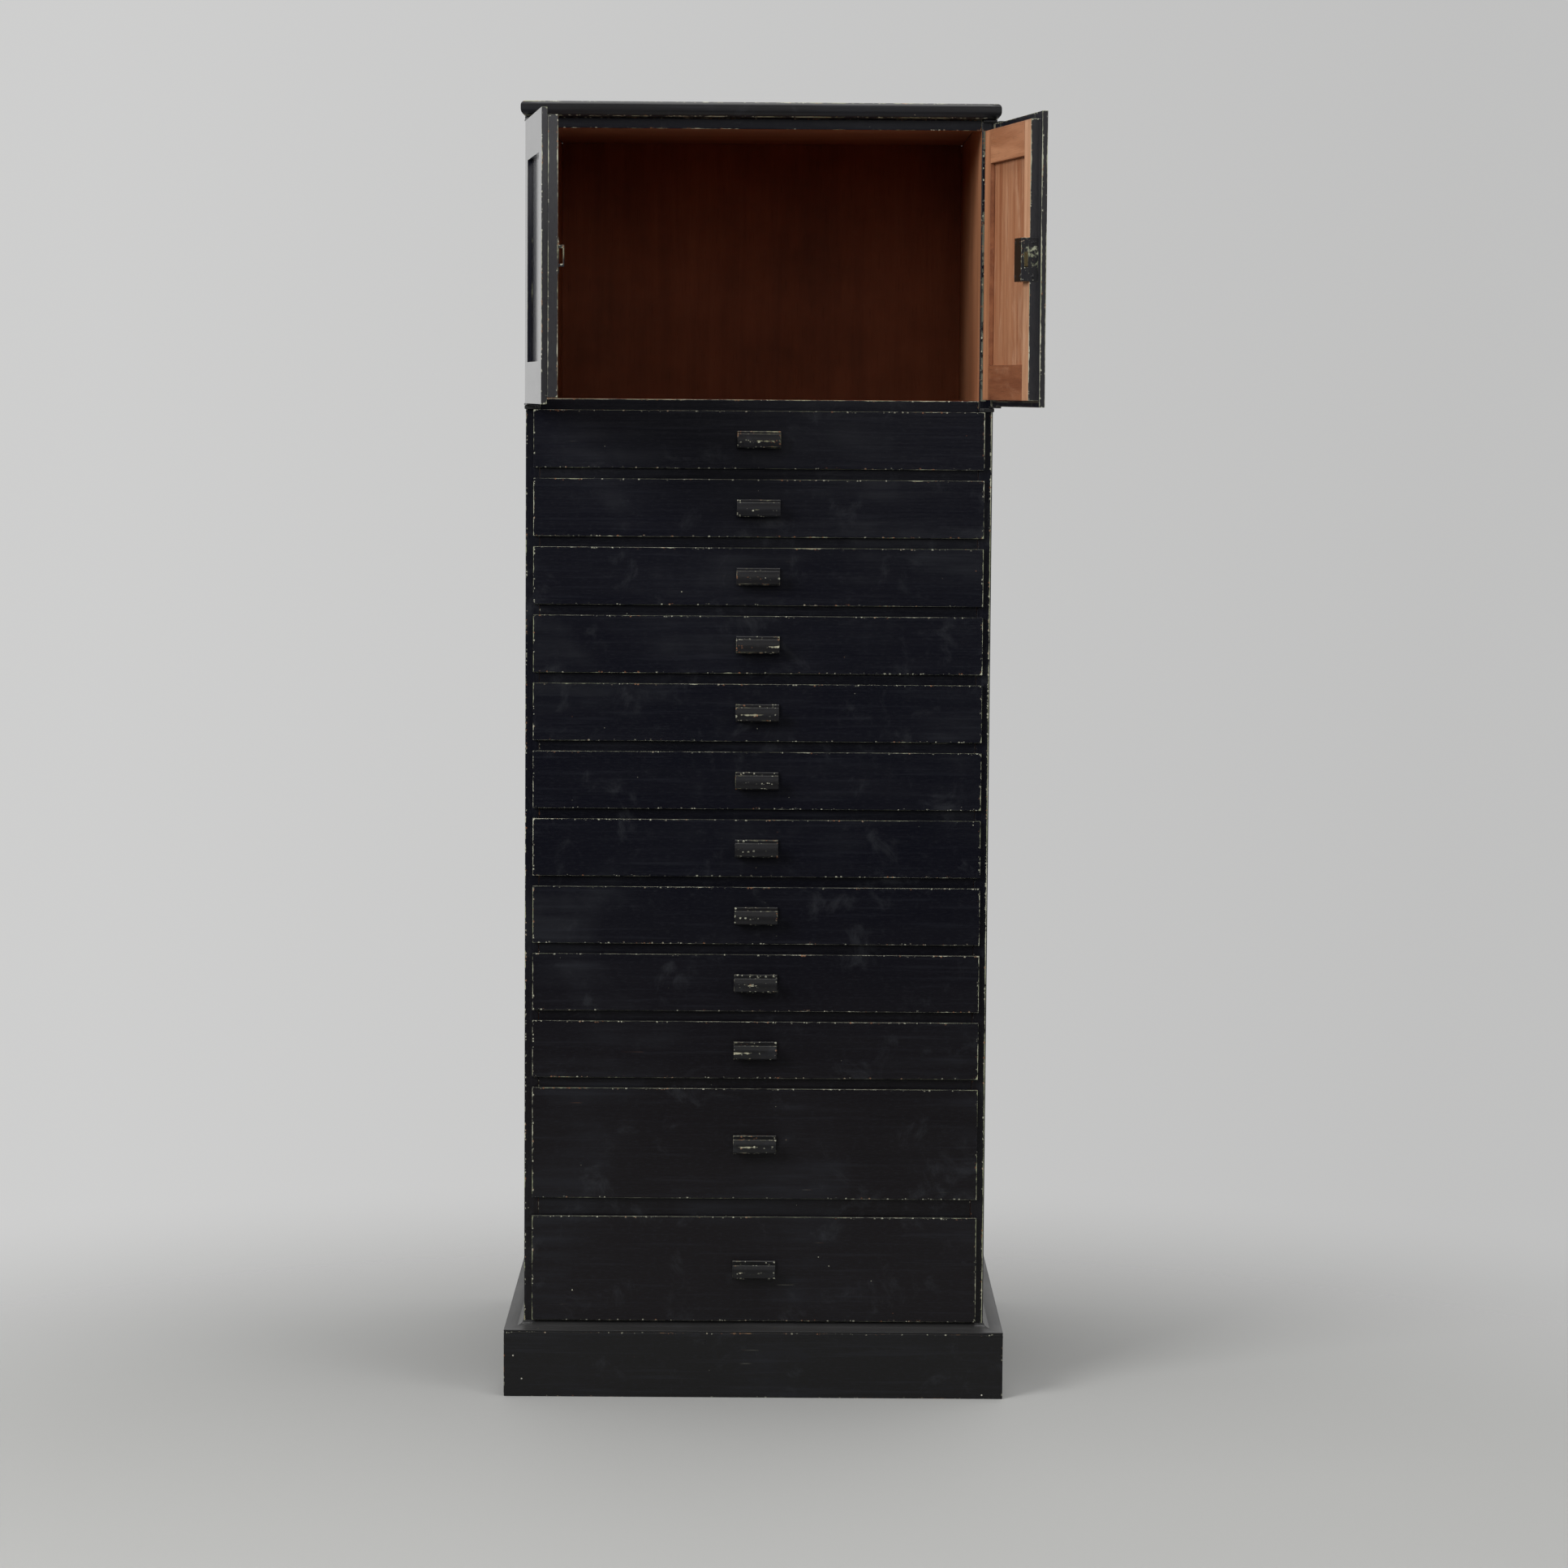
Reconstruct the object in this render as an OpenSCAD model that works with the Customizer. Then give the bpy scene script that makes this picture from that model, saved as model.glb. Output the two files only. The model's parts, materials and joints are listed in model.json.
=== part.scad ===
// Tall flat file cabinet: a small cupboard with two doors over ten shallow and two deep drawers,
// on a projecting moulded plinth. Millimetres, +Z up, front towards -Y,
// origin on the floor at the middle of the carcass.

/* [Carcass] */
// Width over the two side boards
body_w = 690; // [600:5:800]
// Depth from the front edges of the side boards to the back
body_d = 700; // [550:10:800]
// Thickness of the side boards
side_t = 21; // [18:1:24]
// Thickness of the back panel
back_t = 9; // [6:1:14]

/* [Top] */
// Thickness of the top board
top_t = 22; // [18:1:28]
// How far the top board passes the side boards
top_side_over = 7; // [3:1:15]
// How far the top board passes the front edges
top_front_over = 27; // [14:1:40]

/* [Plinth] */
// Height of the plinth boards under the moulding
plinth_h = 98; // [80:1:110]
// Thickness of the plinth boards, which is also how far the plinth projects
plinth_t = 29; // [20:1:36]
// Height of the hollow moulding on the plinth
moulding_h = 12; // [8:1:13]

/* [Drawers] */
// Height of a shallow drawer's opening
shallow_h = 82; // [70:1:90]
// Height of the upper deep drawer's opening
deep_upper_h = 163; // [120:1:180]
// Height of the lowest drawer's opening
deep_lower_h = 155; // [120:1:180]
// Height of the thin rails between drawers
rail_t = 19; // [16:1:24]
// Height of the thick rail above the lowest drawer
thick_rail_t = 31; // [20:1:40]
// Free space behind a closed drawer
drawer_back_gap = 37; // [20:1:120]
// Thickness of the drawer sides and backs
tray_t = 11; // [8:1:14]

/* [Cupboard] */
// Height of the cupboard's opening
cupboard_h = 396; // [300:2:460]
// Thickness of the cupboard's floor
floor_t = 18; // [16:1:22]
// Height of the rail over the doors
top_rail_h = 16; // [13:1:30]
// Width of the door stiles
stile_w = 50; // [45:1:80]
// Width of the door rails
door_rail_w = 60; // [45:1:80]
// How far the left door stands open, in degrees
left_open = 83; // [0:1:180]
// How far the right door stands open, in degrees
right_open = 99; // [0:1:180]

/* [Pulls] */
// Width of a drawer pull
pull_w = 64; // [50:1:90]
// How far a pull stands out from its drawer front
pull_d = 24; // [20:1:30]

/* [Hidden] */
$fn = 48;
black = "#26262b";
wood = "#8a4a28";
drawer_wood = "#a8794f";
iron = "#3a3836";
brass = "#8f7a45";

shallow_count = 10;
drawer_count = 12;
front_y = -body_d / 2;
back_y = body_d / 2;
inner_x = body_w / 2 - side_t;

// Lipped fronts and doors: a thin layer laps over the frame, a thicker one fits inside it
lip_t = 8;
inset_t = 14;
face_gap = 0.4;
lip_side = 9;
lip_end = 1.5;
slide_gap = 2;
tray_len = body_d - back_t - inset_t - drawer_back_gap;
// Fine line between two boards that are joined
joint_line = 0.1;

// Heights, from the floor up
bottom_t = 21;
bottom_top = 114;
shallow_z0 = bottom_top + deep_lower_h + thick_rail_t + deep_upper_h + rail_t;
pitch = shallow_h + rail_t;
shallow_top = shallow_z0 + shallow_count * pitch - rail_t;
cupboard_z0 = shallow_top + floor_t;
cupboard_z1 = cupboard_z0 + cupboard_h;
top_z = cupboard_z1 + top_rail_h;

// Drawers are counted from the top: 0 to 9 are shallow, 10 and 11 are deep
function opening_z(i) = i < shallow_count ? shallow_z0 + (shallow_count - 1 - i) * pitch
    : i == shallow_count ? bottom_top + deep_lower_h + thick_rail_t
    : bottom_top;
function opening_h(i) = i < shallow_count ? shallow_h : i == shallow_count ? deep_upper_h : deep_lower_h;
function label(i) = str("drawer_", i < 9 ? "0" : "", i + 1);

rail_depth = 45;
runner_w = 16;
tray_drop = 12;
tray_bottom_t = 5;
groove_z = 7;
groove_d = 5;
groove_play = 0.2;

// Doors
door_play = 2;
door_lip_top = 9;
door_lip_bottom = 7.5;
meeting_gap = 0.75;
meeting_lap = 9;
meeting_play = 0.5;
panel_t = 8;
panel_in = 7;
panel_tongue = 6;
lip_z0 = cupboard_z0 - door_lip_bottom;
lip_z1 = cupboard_z1 + door_lip_top;
inset_z0 = cupboard_z0 + door_play;
inset_z1 = cupboard_z1 - door_play;
door_mid_z = (lip_z0 + lip_z1) / 2;
lip_x = inner_x + lip_side;
inset_x = inner_x - door_play;
door_face_y = front_y - face_gap - lip_t;
door_inner_y = front_y + inset_t;

// Pivot hinges at the doors' outer corners
pivot_x = body_w / 2 - 2;
pivot_y = front_y - 4.6;
pin_r = 2;
pin_play = 0.05;
eye_r = 4.2;
leaf_t = 2.4;
leaf_gap = 0.4;
leaf_len = 40;
leaf_w = 7.2;

// Lock on the right door
lock_w = 45;
lock_h = 61;
lock_t = 12;
bolt_w = 5;
bolt_h = 20;
bolt_len = 34;
bolt_play = 0.4;
bolt_y = door_inner_y + 2;
meeting_edge_x = meeting_lap + meeting_gap;

// ---------------------------------------------------------------- helpers

// A box from its lowest corner to its highest
module block(low, high) {
    translate(low) cube(high - low);
}

// Points of an arc about a centre
function arc(cx, cy, r, from, to, steps = 6) =
    [for (k = [0:steps]) let (a = from + (to - from) * k / steps) [cx + r * cos(a), cy + r * sin(a)]];

// ---------------------------------------------------------------- carcass

// The nose of the top board: a small round above, a larger one below
upper_round = 7;
lower_round = 10;
function nose(reach) = concat(
    arc(reach - upper_round, top_t - upper_round, upper_round, 90, 0),
    arc(reach - lower_round, lower_round, lower_round, 0, -90)
);

module top_board() {
    half_w = body_w / 2 + top_side_over;
    front_reach = body_d / 2 + top_front_over;
    right = nose(half_w);
    left = [for (k = [len(right) - 1:-1:0]) [-right[k][0], right[k][1]]];
    color(black) translate([0, 0, top_z]) intersection() {
        // Rounded along both sides
        rotate([90, 0, 0]) translate([0, 0, -back_y]) linear_extrude(body_d + top_front_over)
            polygon(concat(right, left));
        // Rounded along the front
        rotate([90, 0, -90]) translate([0, 0, -half_w]) linear_extrude(2 * half_w)
            polygon(concat(nose(front_reach), [[-back_y, 0], [-back_y, top_t]]));
    }
}

module side_board(side) {
    outer = side * body_w / 2;
    inner = side * inner_x;
    color(black) block([min(outer, inner), front_y, 0], [max(outer, inner), back_y, top_z]);
}

module back_panel() {
    color(wood) block([-inner_x, back_y - back_t, bottom_top - bottom_t], [inner_x, back_y, top_z]);
}

module top_rail() {
    color(black) block([-inner_x, front_y, cupboard_z1], [inner_x, front_y + side_t, top_z]);
}

module cupboard_floor() {
    color(wood) block([-inner_x, front_y, shallow_top], [inner_x, back_y - back_t, cupboard_z0]);
}

// One rail under every drawer but the lowest
module drawer_rails() {
    color(black) for (i = [0:drawer_count - 2]) {
        h = i == shallow_count ? thick_rail_t : rail_t;
        z = opening_z(i);
        block([-inner_x, front_y, z - h], [inner_x, front_y + rail_depth, z]);
    }
}

// Strips on the side boards that the drawers slide on
module drawer_runners() {
    color(wood) for (i = [0:drawer_count - 2], side = [-1, 1]) {
        z = opening_z(i);
        near = side * (inner_x - runner_w);
        far = side * inner_x;
        low = [min(near, far), front_y + rail_depth, z - rail_t];
        block(low, [max(near, far), back_y - back_t, z]);
    }
}

module bottom_board() {
    color(wood) block([-inner_x, front_y, bottom_top - bottom_t], [inner_x, back_y - back_t, bottom_top]);
}

// ---------------------------------------------------------------- plinth

plinth_x = body_w / 2 + plinth_t;

module plinth_front() {
    color(black) block([-plinth_x, front_y - plinth_t, 0], [plinth_x, front_y, plinth_h]);
}

// The two side boards; a round-headed stud stands out of the right one
module plinth_sides() {
    stud_r = 8;
    stud_h = 4;
    stud_back = 40;
    stud_down = 18;
    ball_r = (stud_r * stud_r + stud_h * stud_h) / (2 * stud_h);
    color(black) {
        block([-plinth_x, front_y, 0], [-body_w / 2, back_y, plinth_h]);
        block([body_w / 2, front_y, 0], [plinth_x, back_y, plinth_h]);
        translate([plinth_x, front_y + stud_back, plinth_h - stud_down]) intersection() {
            translate([stud_h - ball_r, 0, 0]) sphere(ball_r);
            rotate([0, 90, 0]) cylinder(r = stud_r, h = stud_h);
        }
    }
}

// Boards across the inside of the plinth: one at the middle and one at the back
module plinth_cross_boards() {
    thick = 22;
    color(wood) for (y = [0, back_y - back_t - thick / 2])
        block([-inner_x, y - thick / 2, 0], [inner_x, y + thick / 2, bottom_top - bottom_t]);
}

// Section of the moulding: x is the distance out from the carcass, y is up
module moulding_section() {
    fillet = 3;
    ledge = 1.5;
    inner = 1.5;
    run = plinth_t - ledge - inner;
    rise = moulding_h - fillet;
    steps = 10;
    polygon(concat(
        [[0, 0], [plinth_t, 0], [plinth_t, fillet]],
        [for (k = [0:steps]) let (a = 90 * k / steps)
            [inner + run * (1 - sin(a)), fillet + rise * (1 - cos(a))]],
        [[0, moulding_h]]
    ));
}

// What a mitre takes away, on one side of its plane
module mitre_waste(turn) {
    reach = 2 * plinth_t;
    rotate([0, 0, turn]) translate([-2 * reach, -reach, -1]) cube([4 * reach, reach, moulding_h + 2]);
}

// A straight length of moulding along +X, its back on y = 0, mitred at its near end
module moulding_strip(length, far_mitre) {
    ends = far_mitre ? 2 : 1;
    difference() {
        translate([-plinth_t, 0, 0]) rotate([90, 0, 90])
            linear_extrude(length + ends * plinth_t) mirror([1, 0]) moulding_section();
        mitre_waste(-135);
        if (far_mitre) translate([length, 0, 0]) mitre_waste(135);
    }
}

module plinth_moulding() {
    color(black) translate([0, 0, plinth_h]) {
        translate([-body_w / 2, front_y, 0]) moulding_strip(body_w, true);
        translate([body_w / 2, front_y, 0]) rotate([0, 0, 90]) moulding_strip(body_d, false);
        mirror([1, 0, 0])
            translate([body_w / 2, front_y, 0]) rotate([0, 0, 90]) moulding_strip(body_d, false);
    }
}

// ---------------------------------------------------------------- doors

// Turns a closed right-hand door to where it stands
module swing(side) {
    angle = side > 0 ? right_open : left_open;
    mirror([side > 0 ? 0 : 1, 0, 0]) translate([pivot_x, pivot_y, 0]) rotate([0, 0, angle])
        translate([-pivot_x, -pivot_y, 0]) children();
}

// Where a door's inset layer ends at the meeting edge; the right door laps over the left
function meet_inset(side) = side > 0 ? meeting_edge_x : meeting_gap - meeting_lap;

// One frame member: its lapping layer and its inset layer are one board
module member(lip_low, lip_high, inset_low, inset_high) {
    block([lip_low[0], door_face_y, lip_low[1]], [lip_high[0], front_y - face_gap, lip_high[1]]);
    block([inset_low[0], front_y - face_gap, inset_low[1]], [inset_high[0], door_inner_y, inset_high[1]]);
}

// The space in which the panel's edges sit
module panel_space(side, play) {
    y0 = door_face_y + panel_in;
    block(
        [meeting_gap + stile_w - panel_tongue, y0 - play, lip_z0 + door_rail_w - panel_tongue],
        [lip_x - stile_w + panel_tongue, y0 + panel_t + play, lip_z1 - door_rail_w + panel_tongue]
    );
}

// Two stiles with two rails between them, in the closed right-hand position
module door_frame(side) {
    rail_x0 = meeting_gap + stile_w;
    rail_x1 = lip_x - stile_w;
    rail_z0 = lip_z0 + door_rail_w;
    rail_z1 = lip_z1 - door_rail_w;
    x0 = rail_x0 + joint_line;
    x1 = rail_x1 - joint_line;
    color(black) swing(side) difference() {
        union() {
            // Meeting stile
            member([meeting_gap, lip_z0], [rail_x0, lip_z1],
                   [meet_inset(side), inset_z0], [rail_x0, inset_z1]);
            // Hanging stile
            member([rail_x1, lip_z0], [lip_x, lip_z1], [rail_x1, inset_z0], [inset_x, inset_z1]);
            // Bottom and top rails
            member([x0, lip_z0], [x1, rail_z0], [x0, inset_z0], [x1, rail_z0]);
            member([x0, rail_z1], [x1, lip_z1], [x0, rail_z1], [x1, inset_z1]);
        }
        panel_space(side, groove_play);
        // The left door's lap stands back a little from the right door's lip
        block([-meeting_lap, door_face_y, lip_z0],
              [meeting_gap, front_y - face_gap + meeting_play, lip_z1]);
    }
}

module door_panel(side) {
    color(wood) swing(side) panel_space(side, 0);
}

// Flat leaves under and over a door, each with an eye on the pivot
module hinge_leaves(side) {
    color(iron) swing(side) for (z = [lip_z0 - leaf_t, lip_z1]) difference() {
        union() {
            translate([pivot_x, pivot_y, z]) cylinder(r = eye_r, h = leaf_t);
            block([lip_x - leaf_len, pivot_y - leaf_w / 2, z], [pivot_x, pivot_y + leaf_w / 2, z + leaf_t]);
        }
        translate([pivot_x, pivot_y, z - 1]) cylinder(r = pin_r + pin_play, h = leaf_t + 2);
    }
}

// Four brackets on the side boards' front edges, each with its pin
module hinge_brackets() {
    near_x = pivot_x - 17;
    far_x = pivot_x + 3.5;
    root = 1;
    tip_gap = 0.2;
    low_z = shallow_top + lip_end + 0.7;
    high_z = lip_z1 + leaf_t + leaf_gap;
    color(iron) for (side = [-1, 1]) mirror([side > 0 ? 0 : 1, 0, 0]) {
        block([near_x, door_face_y, low_z], [far_x, front_y, lip_z0 - leaf_t - leaf_gap]);
        translate([pivot_x, pivot_y, low_z + root])
            cylinder(r = pin_r, h = lip_z0 - tip_gap - low_z - root);
        block([near_x, door_face_y, high_z], [far_x, front_y, top_z]);
        translate([pivot_x, pivot_y, lip_z1 + tip_gap])
            cylinder(r = pin_r, h = top_z - root - lip_z1 - tip_gap);
    }
}

// Box lock on the inner face of the right door's meeting stile, open where its bolt slides
module lock_case() {
    x0 = meeting_edge_x;
    z0 = door_mid_z - lock_h / 2;
    color(iron) swing(1) difference() {
        block([x0, door_inner_y, z0], [x0 + lock_w, door_inner_y + lock_t, z0 + lock_h]);
        block([x0 - 1, bolt_y - bolt_play, door_mid_z - bolt_h / 2 - bolt_play],
              [x0 + bolt_len + 2, bolt_y + bolt_w + bolt_play, door_mid_z + bolt_h / 2 + bolt_play]);
    }
}

module lock_bolt() {
    color(brass) swing(1)
        block([meeting_edge_x, bolt_y, door_mid_z - bolt_h / 2],
              [meeting_edge_x + bolt_len, bolt_y + bolt_w, door_mid_z + bolt_h / 2]);
}

// Oval plate round the keyhole, on the outer face of the right door
module escutcheon() {
    plate_r = 7;
    plate_l = 12;
    plate_t = 1.2;
    key_x = 26;
    hole_r = 2.5;
    hole_up = 3;
    slit_w = 2;
    slit_l = 11;
    color(brass) swing(1) translate([meeting_gap + key_x, door_face_y, door_mid_z]) rotate([90, 0, 0])
        difference() {
            union() {
                for (s = [-1, 1]) translate([0, s * plate_l / 2, 0]) cylinder(r = plate_r, h = plate_t);
                translate([-plate_r, -plate_l / 2, 0]) cube([2 * plate_r, plate_l, plate_t]);
            }
            translate([0, hole_up, -1]) cylinder(r = hole_r, h = plate_t + 2);
            translate([-slit_w / 2, hole_up - slit_l, -1]) cube([slit_w, slit_l, plate_t + 2]);
        }
}

// Keeper on the inner face of the left door, with a slot that the bolt enters
module strike_plate() {
    plate_t = 1.5;
    half_plate = 25;
    keeper_t = 9;
    half_keeper = 15;
    half_slot = bolt_h / 2 + 1;
    slot_play = 0.5;
    x0 = meet_inset(-1) + 1;
    x1 = x0 + 13;
    y0 = door_inner_y;
    z = door_mid_z;
    color(iron) swing(-1) difference() {
        union() {
            block([x0, y0, z - half_plate], [x1, y0 + plate_t, z + half_plate]);
            block([x0, y0, z - half_keeper], [x1, y0 + keeper_t, z + half_keeper]);
        }
        block([x0 - 1, bolt_y - slot_play, z - half_slot],
              [x1 + 1, bolt_y + bolt_w + slot_play, z + half_slot]);
    }
}

// ---------------------------------------------------------------- drawers

// Lipped front: the outer layer laps over the frame, the inner one fits the opening
module drawer_front(i) {
    z = opening_z(i);
    h = opening_h(i);
    half_w = inner_x - slide_gap;
    y0 = front_y - face_gap - lip_t;
    color(black) difference() {
        union() {
            block([-lip_x, y0, z - lip_end], [lip_x, front_y - face_gap, z + h + lip_end]);
            block([-half_w, front_y - face_gap, z + face_gap],
                  [half_w, front_y + inset_t, z + h - slide_gap]);
        }
        // Groove that holds the front edge of the bottom
        groove_x = half_w - tray_t + groove_d;
        groove_z0 = z + groove_z - groove_play;
        groove_z1 = z + groove_z + tray_bottom_t + groove_play;
        block([-groove_x, front_y + inset_t - groove_d, groove_z0],
              [groove_x, front_y + inset_t + 1, groove_z1]);
    }
}

// Two sides, a back and a bottom held in grooves
module drawer_tray(i) {
    z = opening_z(i) + face_gap;
    side_h = opening_h(i) - tray_drop;
    half_w = inner_x - slide_gap;
    y0 = front_y + inset_t;
    y1 = y0 + tray_len;
    inside = half_w - tray_t;
    groove_x = inside + groove_d;
    bottom_x = groove_x - groove_play;
    back_x = inside - joint_line;
    bottom_z0 = opening_z(i) + groove_z;
    bottom_z1 = bottom_z0 + tray_bottom_t;
    color(drawer_wood) {
        difference() {
            union() {
                block([-half_w, y0, z], [-inside, y1, z + side_h]);
                block([inside, y0, z], [half_w, y1, z + side_h]);
            }
            block([-groove_x, y0 - 1, bottom_z0 - groove_play],
                  [groove_x, y1 + 1, bottom_z1 + groove_play]);
        }
        block([-back_x, y1 - tray_t, bottom_z1 + joint_line], [back_x, y1, z + side_h]);
        block([-bottom_x, y0 - groove_d + groove_play, bottom_z0], [bottom_x, y1, bottom_z1]);
    }
}

// Section of a pull: x is the distance out from the front, y is up.
// Fingers go in behind the lip from above.
module pull_section() {
    base_z = -12;
    base_in = 5;
    back_z = 13;
    plate = 5;
    chamfer = 1;
    face_r = 30;
    face_z = -2;
    lip_in = 3.4;
    lip_z = 7.9;
    lip_r = 1.6;
    groove_r = 6.5;
    groove_up = 2;
    polygon(concat(
        [[0, base_z], [pull_d - base_in, base_z]],
        arc(pull_d - face_r, face_z, face_r, -15, 12, 8),
        arc(pull_d - lip_in, lip_z, lip_r, 20, 170, 5),
        arc(plate + groove_r, groove_up, groove_r, -10, -170, 8),
        [[plate, back_z - chamfer], [plate - chamfer, back_z], [0, back_z]]
    ));
}

module drawer_pull(i) {
    mid_z = opening_z(i) + opening_h(i) / 2;
    color(black) translate([pull_w / 2, front_y - face_gap - lip_t, mid_z])
        rotate([90, 0, -90]) linear_extrude(pull_w) pull_section();
}

// ---------------------------------------------------------------- nodes

top_board();
side_board(-1);  // left_side
side_board(1);  // right_side
back_panel();
top_rail();
cupboard_floor();
drawer_rails();
drawer_runners();
bottom_board();
plinth_front();
plinth_sides();
plinth_cross_boards();
plinth_moulding();
hinge_brackets();
door_frame(-1);  // left_door_frame
door_panel(-1);  // left_door_panel
hinge_leaves(-1);  // left_door_hinge_leaves
strike_plate();
door_frame(1);  // right_door_frame
door_panel(1);  // right_door_panel
hinge_leaves(1);  // right_door_hinge_leaves
lock_case();
escutcheon();
lock_bolt();
for (i = [0:drawer_count - 1]) {
    drawer_front(i);
    drawer_tray(i);
    drawer_pull(i);
}
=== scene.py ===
"""Looks for a tall, old, black-painted flat file cabinet. Metres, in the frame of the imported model."""

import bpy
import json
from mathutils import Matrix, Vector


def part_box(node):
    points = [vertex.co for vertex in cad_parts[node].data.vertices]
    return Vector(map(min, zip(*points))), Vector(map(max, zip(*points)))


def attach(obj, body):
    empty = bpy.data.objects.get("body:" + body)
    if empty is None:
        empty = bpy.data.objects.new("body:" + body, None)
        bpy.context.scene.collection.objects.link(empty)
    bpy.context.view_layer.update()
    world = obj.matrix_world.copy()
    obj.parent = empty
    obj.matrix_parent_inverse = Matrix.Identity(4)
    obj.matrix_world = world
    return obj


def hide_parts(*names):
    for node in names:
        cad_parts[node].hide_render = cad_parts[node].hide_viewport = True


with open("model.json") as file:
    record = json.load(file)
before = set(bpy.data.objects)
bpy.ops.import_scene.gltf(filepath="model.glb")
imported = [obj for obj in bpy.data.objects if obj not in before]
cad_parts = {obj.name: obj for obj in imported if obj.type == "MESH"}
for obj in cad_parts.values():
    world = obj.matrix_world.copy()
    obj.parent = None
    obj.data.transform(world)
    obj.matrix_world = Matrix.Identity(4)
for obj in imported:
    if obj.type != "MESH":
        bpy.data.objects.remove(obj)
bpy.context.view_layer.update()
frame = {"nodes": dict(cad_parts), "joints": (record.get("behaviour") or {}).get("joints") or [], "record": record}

import json
import math
import random

import bmesh
import bpy
from mathutils import Matrix, Vector

MM = 0.001
NODES = frame["nodes"]
BODY_OF = {node: body for body, nodes in frame["record"]["behaviour"]["bodies"].items() for node in nodes}
JOINTS = {joint["name"]: joint for joint in frame["joints"]}
DRAWERS = [f"drawer_{number:02d}" for number in range(1, 13)]

# Planes of the carcass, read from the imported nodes
BODY_LOW, BODY_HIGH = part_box("left_side")[0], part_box("right_side")[1]
FRONT_Y = BODY_LOW.y
BACK_Y = BODY_HIGH.y
INNER_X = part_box("right_side")[0].x
CUPBOARD_Z0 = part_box("cupboard_floor")[1].z
CUPBOARD_Z1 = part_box("top_rail")[0].z


# ---------------------------------------------------------------- node material helpers


class Shader:
    """A node material with short calls for the nodes that this script uses."""

    def __init__(self, name):
        self.material = bpy.data.materials.new(name)
        self.material.use_nodes = True
        self.tree = self.material.node_tree
        self.bsdf = self.tree.nodes["Principled BSDF"]
        place = self.node("ShaderNodeAttribute", attribute_name="place", attribute_type="GEOMETRY")
        self.coordinates = place.outputs["Vector"]

    def link(self, source, target):
        """Connects a socket, or sets a plain value."""
        if isinstance(source, bpy.types.NodeSocket):
            self.tree.links.new(source, target)
        elif target.type == "RGBA":
            target.default_value = (*source[:3], 1.0)
        else:
            target.default_value = source

    def node(self, kind, inputs=(), **settings):
        made = self.tree.nodes.new(kind)
        for key, value in settings.items():
            setattr(made, key, value)
        for key, value in dict(inputs).items():
            self.link(value, made.inputs[key])
        return made

    def scaled(self, scale, shift=(0, 0, 0)):
        """The place on the piece, in metres, times scale; a door's is its place when closed."""
        inputs = {"Vector": self.coordinates, "Scale": scale, "Location": shift}
        return self.node("ShaderNodeMapping", inputs).outputs[0]

    def noise(self, vector, scale=1.0, detail=3.0, rough=0.5, distort=0.0):
        inputs = {
            "Vector": vector,
            "Scale": scale,
            "Detail": detail,
            "Roughness": rough,
            "Distortion": distort,
        }
        return self.node("ShaderNodeTexNoise", inputs).outputs["Fac"]

    def math(self, operation, a, b=0.0, clamp=False):
        made = self.node("ShaderNodeMath", operation=operation, use_clamp=clamp)
        self.link(a, made.inputs[0])
        self.link(b, made.inputs[1])
        return made.outputs[0]

    def ramp(self, value, low, high, to_low=0.0, to_high=1.0):
        """value from low..high to to_low..to_high, smoothly and clamped."""
        inputs = {"Value": value, "From Min": low, "From Max": high, "To Min": to_low, "To Max": to_high}
        return self.node("ShaderNodeMapRange", inputs, interpolation_type="SMOOTHSTEP").outputs["Result"]

    def mix(self, factor, a, b):
        """A colour between a and b."""
        made = self.node("ShaderNodeMix", data_type="RGBA")
        self.link(factor, made.inputs["Factor"])
        self.link(a, made.inputs[6])
        self.link(b, made.inputs[7])
        return made.outputs[2]

    def dots(self, scale, above, radius, grit):
        """Scattered ragged dots: one in each cell whose random value is above a limit."""
        inputs = {"Vector": self.scaled((scale, scale, scale), (2, 5, 9)), "Scale": 1.0}
        cells = self.node("ShaderNodeTexVoronoi", inputs, feature="F1")
        keep = self.node("ShaderNodeSeparateColor", {"Color": cells.outputs["Color"]})
        size = self.ramp(keep.outputs["Red"], above, 1.0, 0.0, radius)
        ragged = self.math("MULTIPLY", self.math("SUBTRACT", grit, 0.5), radius)
        return self.math("LESS_THAN", self.math("ADD", cells.outputs["Distance"], ragged), size)

    def attribute(self, name):
        return self.node("ShaderNodeAttribute", attribute_name=name, attribute_type="GEOMETRY").outputs["Fac"]

    def finish(self, color, roughness, height=None, depth=0.0003, metallic=0.0):
        self.link(color, self.bsdf.inputs["Base Color"])
        self.link(roughness, self.bsdf.inputs["Roughness"])
        self.bsdf.inputs["Metallic"].default_value = metallic
        if height is not None:
            bump = self.node("ShaderNodeBump", {"Height": height, "Distance": depth, "Strength": 1.0})
            self.tree.links.new(bump.outputs[0], self.bsdf.inputs["Normal"])
        return self.material


def along(axis, long_scale, short_scale):
    """A texture scale that stretches its pattern along one axis."""
    return tuple(long_scale if i == axis else short_scale for i in range(3))


# ---------------------------------------------------------------- materials

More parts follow.
